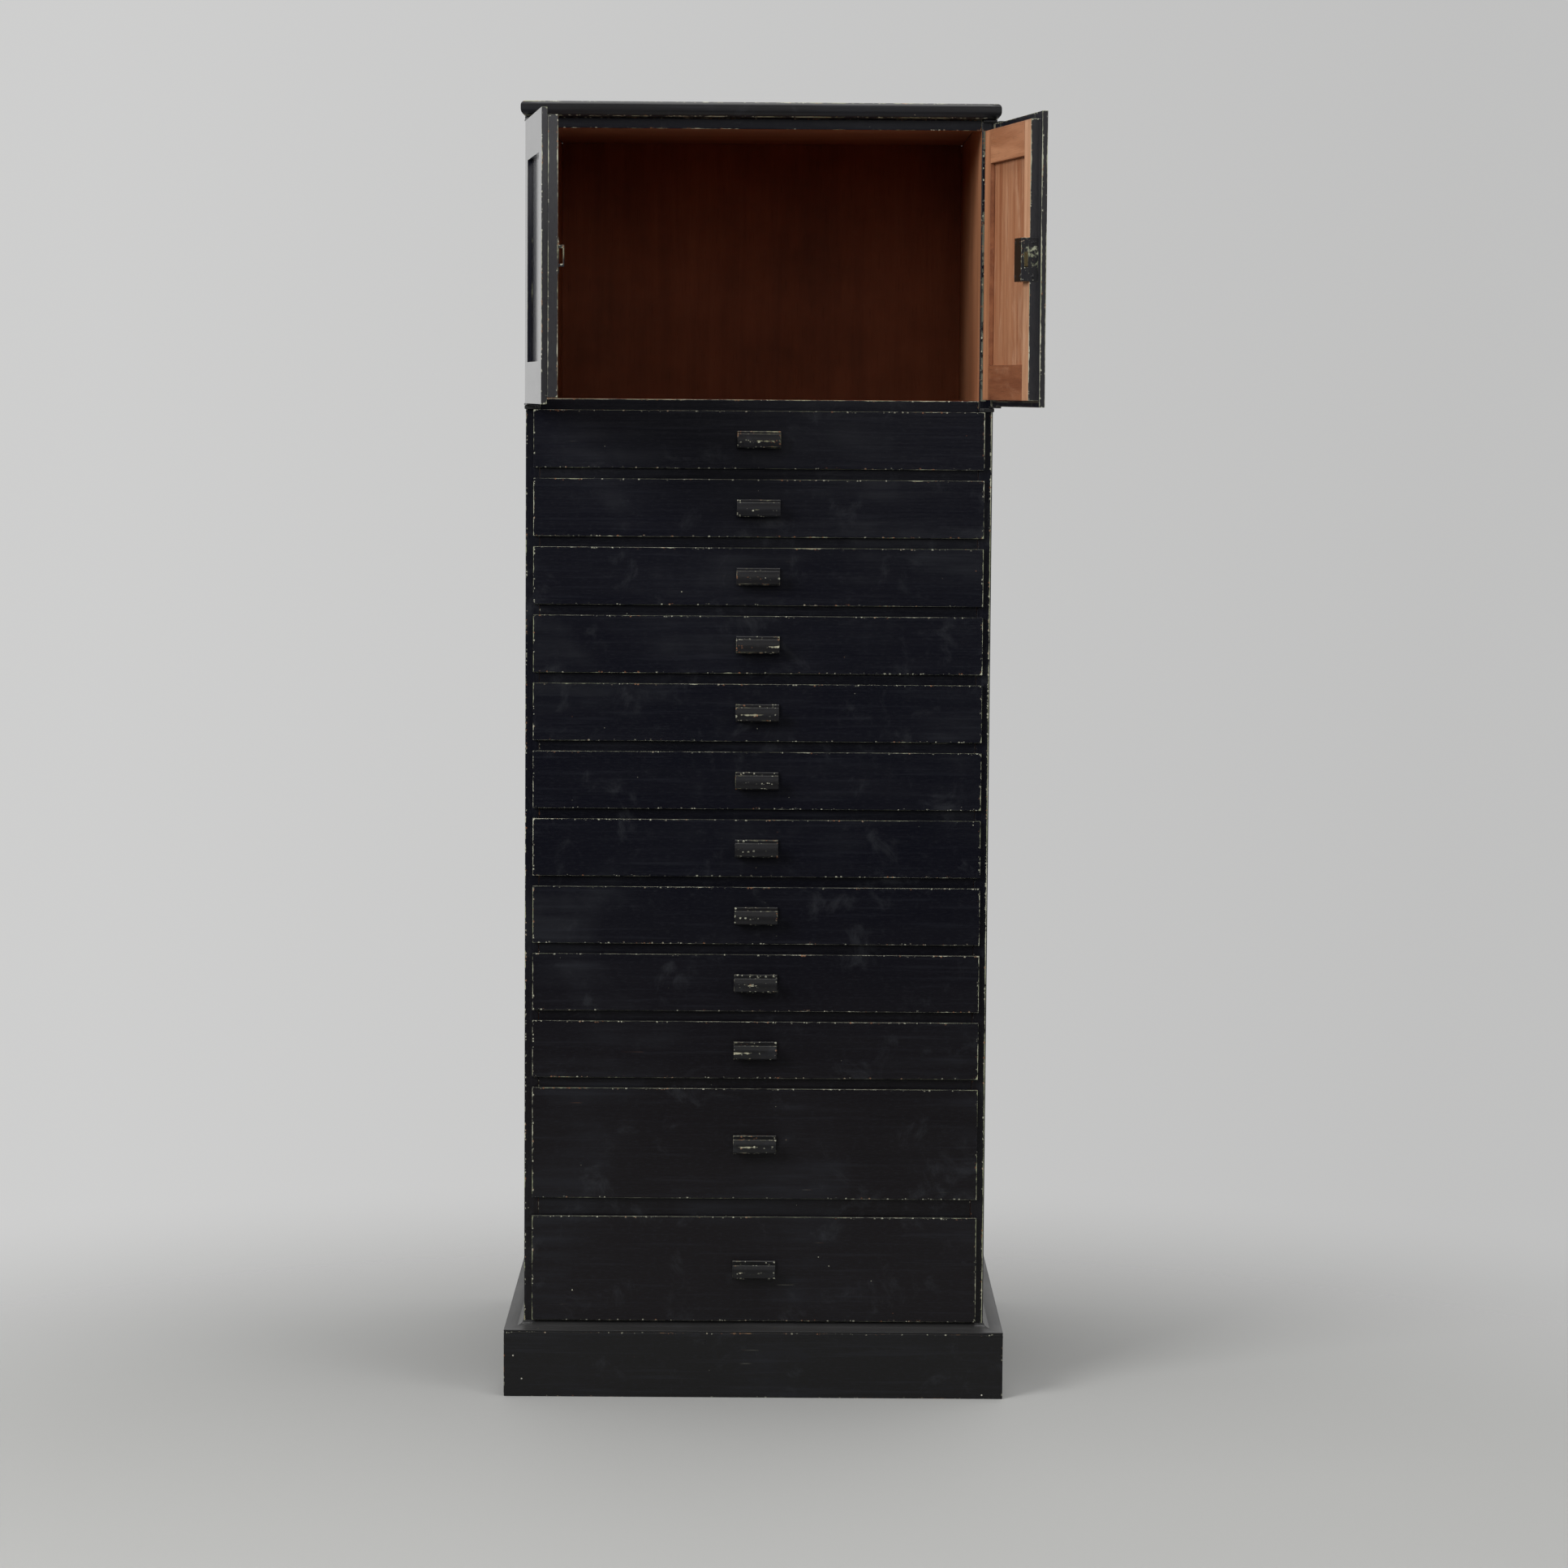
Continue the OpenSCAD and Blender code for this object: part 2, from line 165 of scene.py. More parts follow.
BLUE_BLACK = (0.0024, 0.0026, 0.0062)
GREY_BLACK = (0.0054, 0.0043, 0.0054)
NEUTRAL = ((0.0052, 0.0050, 0.0054), (0.0050, 0.0049, 0.0050))
FADED_BLACK = (0.0125, 0.0135, 0.0175)
SCUFF_AND_SHEEN = (0.030, 0.032, 0.037)
DUST_AND_TOP_SHEEN = (0.056, 0.055, 0.054)
UNDERCOAT = (0.60, 0.60, 0.46)
OLD_GREEN = (0.30, 0.32, 0.20)
BROWN_COAT = ((0.36, 0.20, 0.10), (0.28, 0.17, 0.09))
RUBBED_COAT = ((0.16, 0.16, 0.12), (0.12, 0.13, 0.09))
PULL_COATS = ((0.44, 0.42, 0.30), (0.26, 0.26, 0.16))
WORN_WOOD = (0.30, 0.13, 0.06)
HIGH_AND_LOW_BLACK = (BLUE_BLACK, GREY_BLACK)
PALE_COATS = (UNDERCOAT, OLD_GREEN)


def paint(name, axis, wear=0.0, tone=1.0, gloss=0.0, black=HIGH_AND_LOW_BLACK, pale=PALE_COATS):
    """Old brushed black paint over a pale coat, worn in patches along the rims that the attribute wear marks; some
    pale rims are partly painted highlights, and upward faces and mottled patches are lighter, partly from dust and
    scuffs, partly as painted sheen.

    black holds the coat's colours high up and near the floor; pale holds the two colours under it.
    """
    s = Shader(name)
    brush = s.noise(s.scaled(along(axis, 5, 170)), detail=6, rough=0.62)
    streak = s.noise(s.scaled(along(axis, 2.2, 42)), detail=4, rough=0.6)
    cloud = s.noise(s.scaled((5, 5, 5)), detail=4, rough=0.55, distort=0.6)
    patch = s.noise(s.scaled((19, 19, 19), (3, 7, 1)), detail=4, rough=0.62)
    grit = s.noise(s.scaled((420, 420, 420)), detail=2, rough=0.6)

    # The coat is bluer high up and greyer towards the floor
    height = s.node("ShaderNodeSeparateXYZ", {"Vector": s.coordinates}).outputs["Z"]
    high = s.ramp(height, 0.35, 0.85)
    upper, lower = (tuple(channel * tone for channel in color) for color in black)
    coat = s.mix(high, lower, upper)
    dull = s.math("MULTIPLY", s.ramp(cloud, 0.46, 0.72), s.ramp(streak, 0.35, 0.65))
    coat = s.mix(s.math("MULTIPLY", dull, 0.7), coat, FADED_BLACK)
    # Lighter mottled patches: partly scuffs, partly a painted sheen of the glossy coat
    scuff_and_sheen = s.noise(s.scaled((16, 16, 16), (8, 1, 4)), detail=7, rough=0.72, distort=0.5)
    coat = s.mix(s.ramp(scuff_and_sheen, 0.54, 0.74, 0.0, 0.55), coat, SCUFF_AND_SHEEN)
    coat = s.mix(s.ramp(brush, 0.52, 0.70, 0.0, 0.18), coat, tuple(2.2 * channel for channel in FADED_BLACK))
    grain = s.noise(s.scaled(along(axis, 110, 480), (1, 3, 6)), detail=3, rough=0.6)
    coat = s.mix(s.ramp(grain, 0.48, 0.72, 0.0, 0.45), coat, FADED_BLACK)
    # Upward faces are lighter: partly dust, partly a painted sheen of the light from above
    facing = s.node("ShaderNodeSeparateXYZ", {"Vector": s.node("ShaderNodeNewGeometry").outputs["Normal"]})
    dust_and_top_sheen = s.math("MULTIPLY", s.ramp(facing.outputs["Z"], 0.25, 0.9), s.ramp(cloud, 0.25, 0.65, 0.5, 1.0))
    coat = s.mix(s.math("MULTIPLY", dust_and_top_sheen, 0.6), coat, DUST_AND_TOP_SHEEN)

    # Worn rims: the noise decides where the rim's wear breaks through
    rim = s.attribute("wear")
    fray = s.noise(s.scaled((150, 150, 150), (5, 2, 8)), detail=3, rough=0.6)
    uneven = s.math("ADD", s.math("MULTIPLY", patch, 1.2), s.math("MULTIPLY", fray, 0.8))
    bare = s.math("ADD", s.math("ADD", rim, uneven), wear - 1.0)
    thin = s.ramp(bare, 0.98, 1.14)
    through = s.math("MULTIPLY", s.ramp(bare, 1.26 + wear, 1.36 + wear), 0.8)

    # Along a worn rim the coat is also peppered with fine chips
    rim_share = s.math("ADD", s.math("ADD", rim, s.math("MULTIPLY", uneven, 0.6)), wear)
    pepper = s.math("MULTIPLY", s.dots(260, 0.35, 0.42, grit), s.ramp(rim_share, 1.0, 1.6))

    # Small knocks anywhere, most of them tiny
    knock = s.dots(15, 0.80, 0.028, grit)
    specks = s.math("MULTIPLY", s.dots(62, 0.72, 0.050, grit), s.ramp(cloud, 0.42, 0.60, 0.25, 0.8))
    hairs = s.noise(s.scaled(along(axis, 9, 700), (4, 1, 6)), detail=2, rough=0.4, distort=0.3)
    scratches = s.math("MULTIPLY", s.ramp(hairs, 0.76, 0.79), s.ramp(cloud, 0.54, 0.62, 0.0, 0.5))
    chips = s.math("MAXIMUM", knock, s.math("MULTIPLY", s.math("MAXIMUM", specks, scratches), 0.7))
    chips = s.math("MAXIMUM", chips, s.math("MULTIPLY", pepper, 0.75))

    color = s.mix(s.math("MULTIPLY", thin, 0.85), coat, s.mix(s.ramp(cloud, 0.4, 0.6), *pale))
    color = s.mix(through, color, WORN_WOOD)
    color = s.mix(chips, color, s.mix(s.ramp(patch, 0.5, 0.56), UNDERCOAT, WORN_WOOD))
    gone = s.math("MAXIMUM", thin, chips)

    rough = s.math("ADD", s.math("MULTIPLY", streak, 0.16), s.math("MULTIPLY", cloud, 0.20))
    rough = s.math("ADD", s.math("ADD", rough, 0.15), s.math("MULTIPLY", gone, 0.35), clamp=True)
    s.bsdf.inputs["Specular IOR Level"].default_value = 0.22
    s.bsdf.inputs["Coat Weight"].default_value = gloss
    s.bsdf.inputs["Coat Roughness"].default_value = 0.09
    height = s.math("ADD", s.math("MULTIPLY", brush, 0.5), s.math("MULTIPLY", streak, 0.7))
    height = s.math("SUBTRACT", height, s.math("MULTIPLY", gone, 0.6))
    return s.finish(color, rough, height, 0.00045)


def timber(name, axis, dark, light, rough=0.5, rings=1.0, shine=0.35, faded=0.0):
    """Bare aged wood with its grain along one axis; faded is the share of dry, dusty patches."""
    s = Shader(name)
    s.bsdf.inputs["Specular IOR Level"].default_value = shine
    drift = s.noise(s.scaled(along(axis, 1.6, 7)), detail=3, rough=0.5, distort=0.8)
    figure = s.noise(s.scaled(along(axis, 3.0, 46 * rings)), detail=6, rough=0.62, distort=0.5)
    pores = s.noise(s.scaled(along(axis, 26, 900)), detail=2, rough=0.5)
    stain = s.noise(s.scaled((6, 6, 6), (9, 2, 4)), detail=4, rough=0.6)
    tone = s.math("ADD", s.math("MULTIPLY", figure, 0.75), s.math("MULTIPLY", drift, 0.45))
    color = s.mix(s.ramp(tone, 0.42, 0.80), dark, light)
    deep = tuple(channel * 0.45 for channel in dark)
    color = s.mix(s.ramp(pores, 0.60, 0.72, 0.0, 0.45), color, deep)
    color = s.mix(s.ramp(stain, 0.56, 0.78, 0.0, 0.40), color, deep)
    if faded:
        dry = s.noise(s.scaled(along(axis, 9, 34), (2, 6, 1)), detail=7, rough=0.72, distort=0.4)
        color = s.mix(s.ramp(dry, 0.50, 0.72, 0.0, faded), color, tuple(channel ** 0.72 for channel in light))
    rim = s.math("MULTIPLY", s.attribute("wear"), s.ramp(stain, 0.35, 0.6))
    color = s.mix(s.math("MULTIPLY", rim, 0.35), color, tuple(channel * 0.35 for channel in dark))
    uneven = s.math("ADD", s.math("MULTIPLY", figure, 0.18), rough - 0.09)
    height = s.math("SUBTRACT", s.math("MULTIPLY", figure, 0.5), s.math("MULTIPLY", pores, 0.45))
    return s.finish(color, uneven, height, 0.0003)


def metal(name, bright, dull, rough, metallic=1.0, dull_share=0.5):
    """Old hardware: bright where rubbed, dull and spotted elsewhere."""
    s = Shader(name)
    spots = s.noise(s.scaled((160, 160, 160)), detail=5, rough=0.65)
    blotch = s.noise(s.scaled((38, 38, 38)), detail=3, rough=0.5)
    mask = s.math("ADD", s.math("MULTIPLY", spots, 0.6), s.math("MULTIPLY", blotch, 0.6))
    mask = s.math("SUBTRACT", mask, s.math("MULTIPLY", s.attribute("wear"), 0.16))
    dulled = s.ramp(mask, 0.85 - 0.5 * dull_share, 1.05 - 0.5 * dull_share)
    color = s.mix(dulled, bright, dull)
    uneven = s.math("ADD", s.math("MULTIPLY", dulled, 0.25), rough)
    return s.finish(color, uneven, spots, 0.0002, metallic)


def floor_surface():
    """Pale floor that fades into the backdrop's light with distance."""
    s = Shader("pale_floor")
    s.coordinates = s.node("ShaderNodeTexCoord").outputs["Object"]
    cloud = s.noise(s.scaled((0.7, 0.7, 0.7)), detail=2)
    color = s.mix(cloud, (0.37, 0.37, 0.36), (0.40, 0.40, 0.39))
    s.finish(color, 0.75)
    from_front = s.scaled((1, 1, 1), (0, 1, 0))
    away = s.node("ShaderNodeVectorMath", {0: from_front}, operation="LENGTH").outputs["Value"]
    clear = s.node("ShaderNodeBsdfTransparent")
    blend = s.node("ShaderNodeMixShader", {"Fac": s.ramp(away, 0.9, 2.5)})
    s.tree.links.new(s.bsdf.outputs[0], blend.inputs[1])
    s.tree.links.new(clear.outputs[0], blend.inputs[2])
    out = s.tree.nodes["Material Output"]
    s.tree.links.new(blend.outputs[0], out.inputs["Surface"])
    return s.material


AXES = {"x": 0, "y": 1, "z": 2}
TOP_RAIL_PAINT = paint("black_paint_x", AXES["x"])
SIDE_PAINT = {
    "left_side": paint("black_paint_left_side", AXES["z"], wear=-0.04),
    # The right board's higher wear is partly a painted highlight along its front outer arris
    "right_side": paint("black_paint_right_side", AXES["z"], wear=0.30),
}
EDGED_PAINT = paint("black_paint_chipped_edges", AXES["x"], wear=0.16)
TOP_PAINT = paint("black_paint_top", AXES["x"], wear=0.02, tone=2.0, black=NEUTRAL)
PLINTH_PAINT = {
    key: paint(f"plinth_paint_{key}", AXES[key], wear=-0.14, tone=1.6, black=NEUTRAL, pale=BROWN_COAT)
    for key in "xy"
}
MOULDING_PAINT = {
    key: paint(f"moulding_paint_{key}", AXES[key], wear=-0.24, tone=2.2, black=NEUTRAL, pale=BROWN_COAT)
    for key in "xy"
}
RAIL_PAINT = paint("black_paint_rails", AXES["x"], wear=-0.20, tone=0.8)
FRONT_PAINT = paint("drawer_front_paint", AXES["x"], wear=0.20)
PULL_PAINT = paint("pull_paint", AXES["x"], wear=0.02, tone=2.1, black=NEUTRAL, pale=PULL_COATS)
DOOR_PAINT = {key: paint(f"door_paint_{key}", AXES[key], wear=0.16, tone=1.8, gloss=0.85) for key in "xz"}
EDGE_PAINT = paint("door_edge_paint", AXES["z"], wear=0.32, tone=6.0, gloss=0.3, black=NEUTRAL)
CHIPPED_PAINT = paint("chipped_lock_paint", AXES["z"], wear=0.10, tone=4.0, black=NEUTRAL)
OLD_COAT = paint("old_green_coat", AXES["z"], wear=1.08, pale=RUBBED_COAT)


def timbers(name, keys, *colors, **looks):
    """The same wood with its grain along each of several axes."""
    return {key: timber(f"{name}_{key}", AXES[key], *colors, **looks) for key in keys}


DARK_MAHOGANY = timbers("dark_mahogany", "xz", (0.262, 0.078, 0.032), (0.345, 0.108, 0.047), shine=0.12)
MAHOGANY = timbers("mahogany", "xz", (0.33, 0.135, 0.062), (0.50, 0.235, 0.12))
PALE_WOOD = timbers("drawer_wood", "xy", (0.28, 0.15, 0.07), (0.46, 0.29, 0.15))
# A lighter copy of the mahogany for the cupboard's ceiling: painted light, for the light that reaches the
# underside of the top
CEILING_WITH_PAINTED_LIGHT = timber("ceiling_mahogany", AXES["x"], (0.46, 0.25, 0.15), (0.58, 0.34, 0.21), shine=0.12)
PALE_MAHOGANY = timber(
    "pale_mahogany", AXES["z"], (0.40, 0.195, 0.100), (0.60, 0.335, 0.200), rings=2, faded=0.3
)
PANEL_MAHOGANY = timber(
    "panel_mahogany", AXES["z"], (0.27, 0.095, 0.040), (0.46, 0.225, 0.118), rings=1.6, faded=0.6
)
RED_MAHOGANY = timber("red_mahogany", AXES["x"], (0.19, 0.066, 0.030), (0.31, 0.120, 0.054), faded=0.5)
RAW_BACK = timber(
    "raw_back", AXES["z"], (0.120, 0.068, 0.036), (0.300, 0.190, 0.112), rough=0.7, rings=2.2, faded=0.35
)
END_GRAIN = timber("end_grain", AXES["y"], (0.12, 0.05, 0.022), (0.20, 0.09, 0.04), rings=3)
FILLER = timber("filler", AXES["z"], (0.42, 0.41, 0.34), (0.60, 0.58, 0.50), rough=0.8)
IRON = metal("painted_iron", (0.020, 0.020, 0.021), (0.008, 0.008, 0.009), 0.42, metallic=0.3)
STEEL = metal("tarnished_steel", (0.20, 0.17, 0.125), (0.075, 0.052, 0.034), 0.38)
BRASS = metal("old_brass", (0.42, 0.31, 0.13), (0.14, 0.10, 0.045), 0.36)
DARK_BRASS = metal("blackened_brass", (0.13, 0.10, 0.05), (0.03, 0.024, 0.014), 0.42)


# ---------------------------------------------------------------- mesh helpers

WELD = 1e-5
FLAT = math.radians(0.5)
SHARP = math.radians(28)
CREASE = math.radians(38)


def cad_mesh(*nodes, turn=None):
    """The nodes' own shapes, their flat triangles joined into whole faces, turned by a matrix."""
    bm = bmesh.new()
    for node in nodes:
        bm.from_mesh(NODES[node].data)
    if turn:
        bmesh.ops.transform(bm, matrix=turn, verts=bm.verts)
    bmesh.ops.remove_doubles(bm, verts=bm.verts, dist=WELD)
    bmesh.ops.dissolve_limit(bm, angle_limit=FLAT, verts=bm.verts, edges=bm.edges)
    return bm


def cut(bm, axis, levels):
    """Cuts the faces along planes across one axis, so that they can carry a change there."""
    normal = Vector([float(i == axis) for i in range(3)])
    for level in levels:
        geometry = bm.verts[:] + bm.edges[:] + bm.faces[:]
        bmesh.ops.bisect_plane(bm, geom=geometry, plane_co=normal * level, plane_no=normal, dist=1e-7)


def cut_beside_edges(bm, margin):
    """Cuts every flat face a margin in from its edges, for wear that fades over that margin."""

    def runs_along_an_axis(edge):
        direction = (edge.verts[0].co - edge.verts[1].co).normalized()
        return max(abs(part) for part in direction) > 0.999

    square = [v.co.copy() for v in bm.verts if all(runs_along_an_axis(e) for e in v.link_edges)]
    for axis in range(3):
        levels = sorted({round(co[axis], 5) for co in square})
        near = {round(level + side * margin, 5) for level in levels for side in (-1, 1)}
        cut(bm, axis, sorted(level for level in near if levels[0] < level < levels[-1]))


def round_edges(bm, radius, segments=3, shoulder=0.8):
    """Rounds the outer edges and marks them in the attribute wear: 1 on the round, less beside it."""
    edges = [e for e in bm.edges if e.is_manifold and e.is_convex and e.calc_face_angle(0) > SHARP]
    made = bmesh.ops.bevel(
        bm,
        geom=edges,
        offset=radius,
        offset_type="OFFSET",
        segments=segments,
        profile=0.5,
        affect="EDGES",
        clamp_overlap=True,
    )
    rounds = set(made["faces"])
    layer = bm.verts.layers.float.get("wear") or bm.verts.layers.float.new("wear")
    for vert in bm.verts:
        share = sum(face in rounds for face in vert.link_faces)
        vert[layer] = 1.0 if share and share == len(vert.link_faces) else shoulder if share else 0.0


def span(bm):
    """The lowest and highest corners of a mesh."""
    places = [v.co for v in bm.verts]
    low = Vector([min(place[i] for place in places) for i in range(3)])
    high = Vector([max(place[i] for place in places) for i in range(3)])
    return low, high


def box(bm, low, high):
    """Adds a box from corner to corner."""
    low, high = Vector(low), Vector(high)
    made = bmesh.ops.create_cube(bm, size=1.0)["verts"]
    bmesh.ops.scale(bm, vec=high - low, verts=made)
    bmesh.ops.translate(bm, vec=(low + high) / 2, verts=made)


def link(name, bm, materials, pick=None, turn=None):
    """A new object from a mesh: pick gives each face's material, and turn moves the mesh to where it stands.

    The attribute place keeps where the mesh was before the turn, for its texture.
    """
    bm.normal_update()
    if pick:
        for face in bm.faces:
            face.material_index = materials.index(pick(face.calc_center_median(), face.normal))
    place = bm.verts.layers.float_vector.new("place")
    for vert in bm.verts:
        vert[place] = vert.co
    if turn:
        bmesh.ops.transform(bm, matrix=turn, verts=bm.verts)
    mesh = bpy.data.meshes.new(name)
    bm.to_mesh(mesh)
    bm.free()
    for material in materials:
        mesh.materials.append(material)
    mesh.shade_smooth()
    mesh.set_sharp_from_angle(angle=CREASE)
    made = bpy.data.objects.new(name, mesh)
    bpy.context.scene.collection.objects.link(made)
    weighted = made.modifiers.new("even_normals", "WEIGHTED_NORMAL")
    weighted.keep_sharp = True
    weighted.weight = 100
    return made


def stand_for(piece, *nodes):
    """The piece takes these CAD nodes' place and body; the nodes are hidden."""
    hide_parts(*nodes)
    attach(piece, BODY_OF[nodes[0]])
    return piece


def extra(piece, body):
    """A detail that stands for no CAD node."""
    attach(piece, body)
    return piece


# ---------------------------------------------------------------- carcass

# How straight a face looks along an axis, as its normal's part in it
SQUARE_ON = 0.9
MOSTLY = 0.7


def near(value, target, margin=1 * MM):
    return abs(value - target) < margin


def side_board(name):
    """Wood inside, paint outside; the right one is rubbed where its door's edge passes, and its front outer arris
    carries a pale line that is partly wear, partly a painted highlight.
    """
    bm = cad_mesh(name)
    materials = [SIDE_PAINT[name], MAHOGANY["z"], OLD_COAT]
    rub_low, rub_high = INNER_X + 2.5 * MM, INNER_X + 10 * MM
    arris = 2.2 * MM
    inner_wear = 0.35
    outer_wear = 0.25
    cut_beside_edges(bm, margin=5 * MM)
    cut(bm, 0, (rub_low, rub_high))
    cut(bm, 2, (CUPBOARD_Z0, CUPBOARD_Z1))
    round_edges(bm, radius=1.8 * MM)
    layer = bm.verts.layers.float["wear"]
    for vert in bm.verts:
        if abs(vert.co.x) < INNER_X + arris:
            vert[layer] *= inner_wear
        elif vert.co.x > BODY_HIGH.x - arris:
            # The front face of the right board's outer arris gets full wear: a pale line that is partly worn
            # paint, partly a painted highlight
            on_front_highlight = vert.co.y < FRONT_Y + 0.1 * MM
            vert[layer] = 1.0 if on_front_highlight else outer_wear * vert[layer]

    def pick(place, normal):
        if near(abs(place.x), INNER_X) and abs(normal.x) > SQUARE_ON:
            return MAHOGANY["z"]
        rubbed = rub_low < place.x < rub_high and CUPBOARD_Z0 < place.z < CUPBOARD_Z1
        return OLD_COAT if rubbed and normal.y < -SQUARE_ON else SIDE_PAINT[name]

    stand_for(link(name + "_board", bm, materials, pick), name)


def top_board():
    """The nosed top, chipped along the two lines where its nose begins and ends."""
    bm = cad_mesh("top_board")
    back_strip = 9 * MM
    lower_line = 1.6 * MM
    upper_line = 1.2 * MM
    flush = 0.1 * MM
    cut(bm, 0, (-INNER_X, INNER_X))
    cut(bm, 1, (FRONT_Y, BACK_Y - back_strip))
    layer = bm.verts.layers.float.new("wear")
    low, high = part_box("top_board")
    for vert in bm.verts:
        up, down = vert.co.z - low.z, high.z - vert.co.z
        vert[layer] = 1.0 if flush < up < lower_line or flush < down < upper_line else 0.0

    def pick(place, normal):
        inside = abs(place.x) < INNER_X and FRONT_Y < place.y
        # The underside inside the cupboard takes the lighter mahogany as painted light
        return CEILING_WITH_PAINTED_LIGHT if normal.z < -SQUARE_ON and inside else TOP_PAINT

    stand_for(link("top_board_nosed", bm, [TOP_PAINT, CEILING_WITH_PAINTED_LIGHT], pick), "top_board")


def plain_rails():
    """Rails that show black in front and bare wood elsewhere."""
    painted_depth = 1.2 * MM
    for name, front_paint, wood in (
        ("top_rail", TOP_RAIL_PAINT, DARK_MAHOGANY["x"]),
        ("cupboard_floor", EDGED_PAINT, DARK_MAHOGANY["x"]),
        ("drawer_rails", RAIL_PAINT, PALE_WOOD["x"]),
        ("bottom_board", RAIL_PAINT, PALE_WOOD["x"]),
    ):
        bm = cad_mesh(name)
        cut_beside_edges(bm, margin=3 * MM)
        round_edges(bm, radius=0.9 * MM, segments=2)

        def pick(place, normal):
            return front_paint if place.y < FRONT_Y + painted_depth else wood

        stand_for(link(name + "_board", bm, [front_paint, wood], pick), name)


def back_panel():
    """One broad sheet, polished inside and raw outside."""
    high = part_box("back_panel")[1]
    raw_depth = 1.5 * MM
    bm = cad_mesh("back_panel")
    round_edges(bm, radius=0.8 * MM, segments=2)

    def pick(place, normal):
        return RAW_BACK if place.y > high.y - raw_depth else DARK_MAHOGANY["z"]

    stand_for(link("back_sheet", bm, [DARK_MAHOGANY["z"], RAW_BACK], pick), "back_panel")


def plain_wood(name, wood):
    bm = cad_mesh(name)
    round_edges(bm, radius=0.8 * MM, segments=2)
    stand_for(link(name + "_wood", bm, [wood]), name)


# ---------------------------------------------------------------- plinth


def plinth():
    bm = cad_mesh("plinth_front")
    cut_beside_edges(bm, margin=5 * MM)
    round_edges(bm, radius=1.4 * MM)
    stand_for(link("plinth_front_board", bm, [PLINTH_PAINT["x"]]), "plinth_front")

    bm = cad_mesh("plinth_sides")
    cut_beside_edges(bm, margin=5 * MM)
    round_edges(bm, radius=1.4 * MM)
    stand_for(link("plinth_side_boards", bm, [PLINTH_PAINT["y"]]), "plinth_sides")

    bm = cad_mesh("plinth_moulding")
    round_edges(bm, radius=0.7 * MM, segments=2)
    layer = bm.verts.layers.float["wear"]
    low_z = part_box("plinth_moulding")[0].z
    foot_line = 0.8 * MM
    foot_wear = 0.9
    for vert in bm.verts:
        vert[layer] = foot_wear if vert.co.z < low_z + foot_line else 0.0

    def pick(place, normal):
        along_front = abs(place.x) < BODY_HIGH.x or abs(normal.y) > abs(normal.x)
        return MOULDING_PAINT["x" if along_front else "y"]

    stand_for(link("plinth_hollow_moulding", bm, list(MOULDING_PAINT.values()), pick), "plinth_moulding")

    # Filled nail holes in the front board
    low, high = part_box("plinth_front")
    dome_radius = 1.1 * MM
    dome_height = 0.22
    bm = bmesh.new()
    for x, z in ((low.x + 14 * MM, 62 * MM), (low.x + 27 * MM, 27 * MM), (high.x - 31 * MM, 6 * MM)):
        dome = bmesh.ops.create_icosphere(bm, subdivisions=3, radius=dome_radius)["verts"]
        bmesh.ops.scale(bm, vec=(1, dome_height, 1), verts=dome)
        bmesh.ops.translate(bm, vec=(x, low.y, z), verts=dome)
    extra(link("plinth_filled_nail_holes", bm, [FILLER]), "carcass")


# ---------------------------------------------------------------- doors


class Door:
    """One door, worked on as it lies closed and then turned to where it stands."""

    def __init__(self, side):
        self.side = side
        self.name = "right_door" if side > 0 else "left_door"
        joint = JOINTS[self.name + "_hinge"]
        closed = math.radians(joint["range_deg"][0])
        pivot = Vector(joint["pos_m"])
        spin = Matrix.Rotation(closed, 4, Vector(joint["axis"]))
        self.to_closed = Matrix.Translation(pivot) @ spin @ Matrix.Translation(-pivot)
        self.to_open = self.to_closed.inverted()
        bm = cad_mesh(self.name + "_frame", turn=self.to_closed)
        self.low, self.high = span(bm)
        self.frame = bm
        panel = cad_mesh(self.name + "_panel", turn=self.to_closed)
        self.panel = panel
        self.panel_y, self.panel_z = (sum(v.co[i] for v in panel.verts) / len(panel.verts) for i in (1, 2))


LIP_BACK_Y = FRONT_Y - 0.4 * MM
STILE = 50 * MM
DOOR_RAIL = 60 * MM
MEETING_GAP = 0.75 * MM


